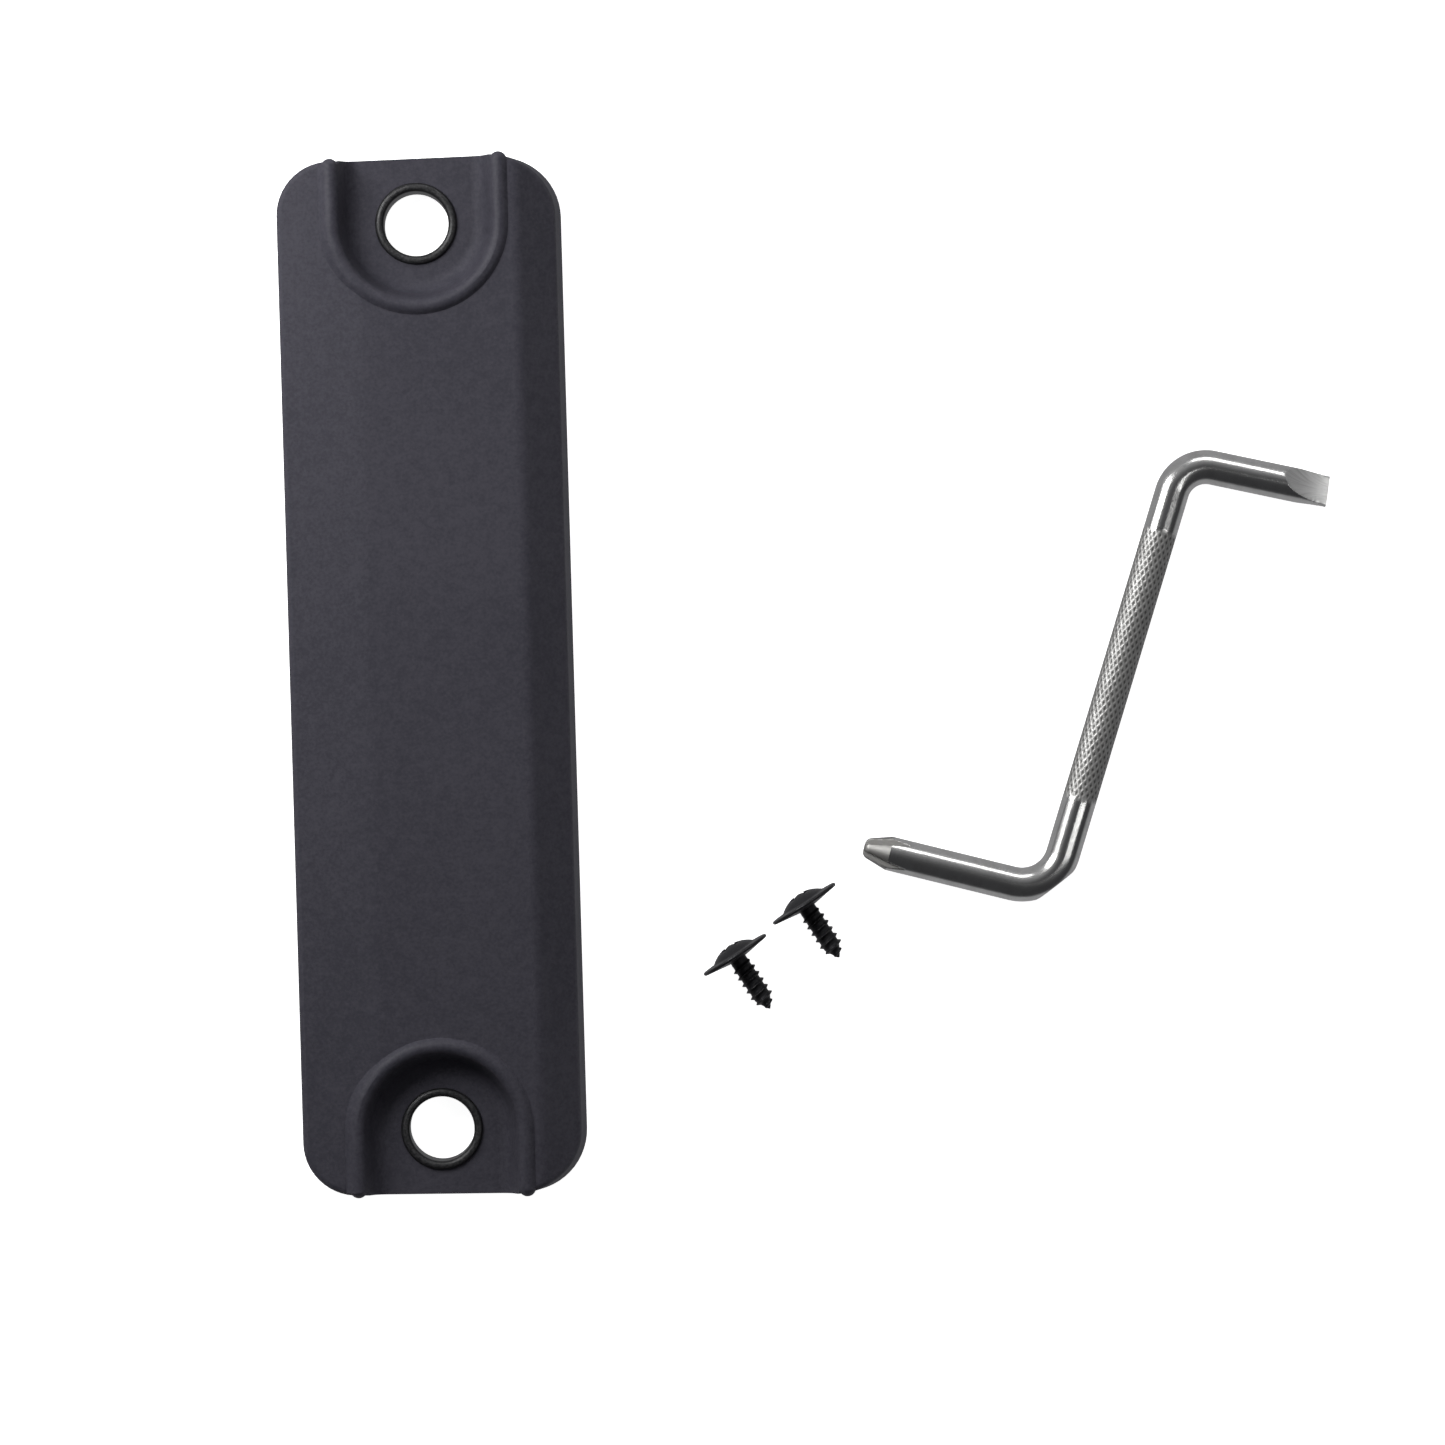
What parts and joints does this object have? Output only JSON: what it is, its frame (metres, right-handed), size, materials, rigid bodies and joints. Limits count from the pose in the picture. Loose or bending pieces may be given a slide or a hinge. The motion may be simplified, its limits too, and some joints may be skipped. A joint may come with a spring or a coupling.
{
  "type": "latch release cover kit",
  "caption": "Soft black cover plate with eyeleted screw holes for a tailgate latch release, laid out with its tapping screws and a Z-shaped offset screwdriver.",
  "frame": {"origin": "on the cover's flat back, midway between its screw holes", "axes": "+X across the cover towards its bevelled side, +Y along the cover, +Z out of its face"},
  "size_m": [0.1221, 0.1208, 0.0086],
  "materials": {
    "cover_rubber": "matt, fine moulded texture",
    "eyelet_steel": "satin black coating",
    "screw_steel": "oiled black phosphate",
    "driver_steel": "bright plated, with a knurled shaft"
  },
  "bodies": {
    "cover_plate": {"cover": "cover_rubber", "eyelet_upper": "eyelet_steel", "eyelet_lower": "eyelet_steel"},
    "first_screw": {"screw_1": "screw_steel"},
    "second_screw": {"screw_2": "screw_steel"},
    "driver": {"offset_driver": "driver_steel"}
  },
  "joints": [
    {"name": "lift_first_screw", "type": "slide", "parent": "cover_plate", "child": "first_screw", "axis": [0, 0, 1], "range_m": [0, 0.03]},
    {"name": "lift_second_screw", "type": "slide", "parent": "cover_plate", "child": "second_screw", "axis": [0, 0, 1], "range_m": [0, 0.03]},
    {"name": "lift_driver", "type": "slide", "parent": "cover_plate", "child": "driver", "axis": [0, 0, 1], "range_m": [0, 0.04]}
  ]
}
